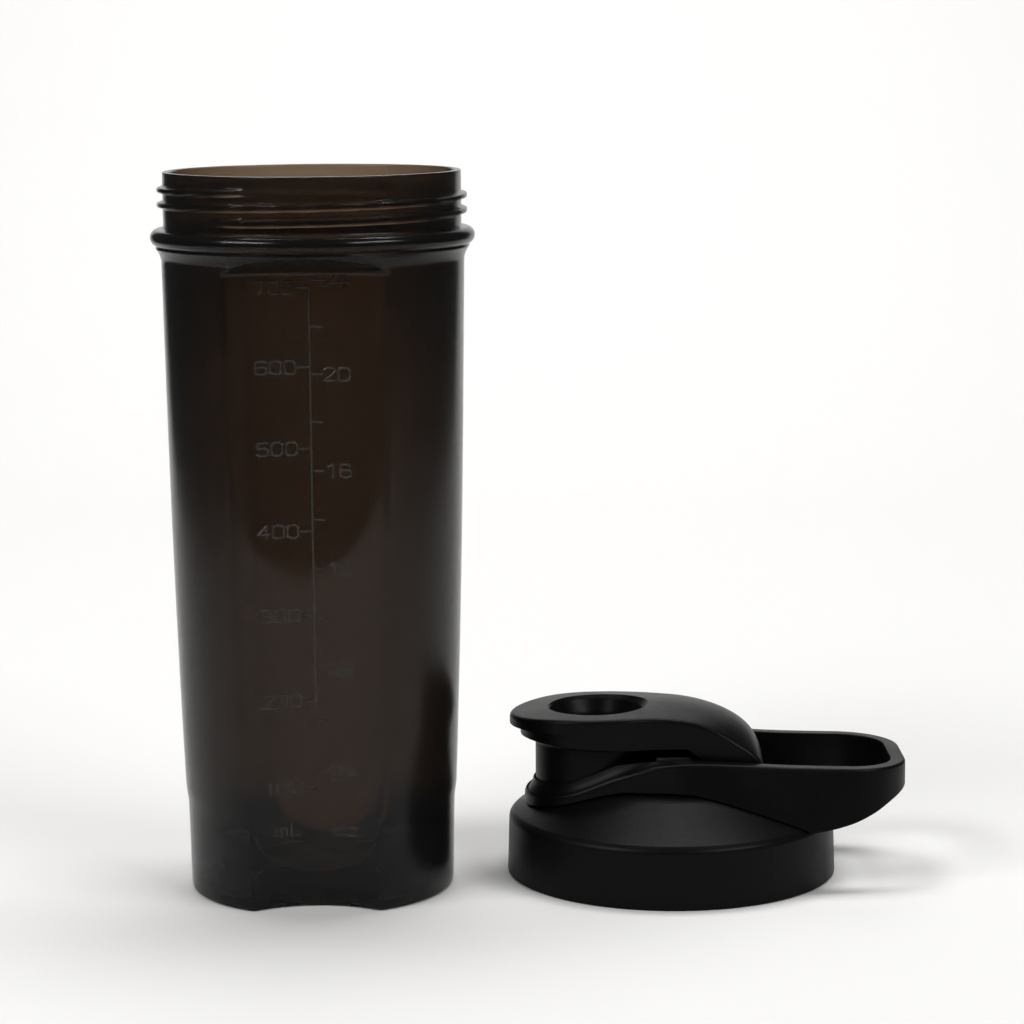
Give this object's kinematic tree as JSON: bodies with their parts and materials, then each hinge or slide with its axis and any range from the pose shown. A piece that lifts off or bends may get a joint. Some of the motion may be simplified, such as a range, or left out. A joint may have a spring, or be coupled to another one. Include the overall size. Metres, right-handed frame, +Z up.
{
  "type": "protein shaker bottle",
  "caption": "Tapered smoke-tinted shaker cup with grip panels and a screw neck, and beside it a domed lid with drinking spout, flip cap and carrying loop.",
  "frame": {"origin": "on the surface the set stands on, at the bottom centre of the box round the cup and the lid", "axes": "+X from the cup towards the lid and its loop, +Z up, -Y the front, where the cup's scale is"},
  "size_m": [0.212, 0.1044, 0.203],
  "materials": {
    "cup_plastic": "smoke-tinted clear plastic, glossy panels and softly frosted sides",
    "lid_plastic": "satin black moulded plastic",
    "loop_plastic": "satin black moulded plastic",
    "cap_plastic": "satin black moulded plastic",
    "pin_plastic": "smooth black plastic",
    "silicone": "matt black silicone",
    "grid_plastic": "matt black moulded plastic"
  },
  "bodies": {
    "cup": {"cup_body": "cup_plastic"},
    "lid": {"lid_body": "lid_plastic", "pour_spout": "lid_plastic", "carry_loop": "loop_plastic", "hinge_pin": "pin_plastic", "lid_gasket": "silicone", "mixing_grid": "grid_plastic"},
    "flap": {"flip_cap": "cap_plastic", "spout_seal": "silicone"}
  },
  "joints": [
    {"name": "lid_lift", "type": "slide", "parent": "cup", "child": "lid", "axis": [0, 0, 1], "range_m": [0, 0.22]},
    {"name": "cap_hinge", "type": "hinge", "parent": "lid", "child": "flap", "pos_m": [0.05975, 0.0049, 0.0334], "axis": [0, 1, 0], "range_deg": [0, 110]}
  ]
}
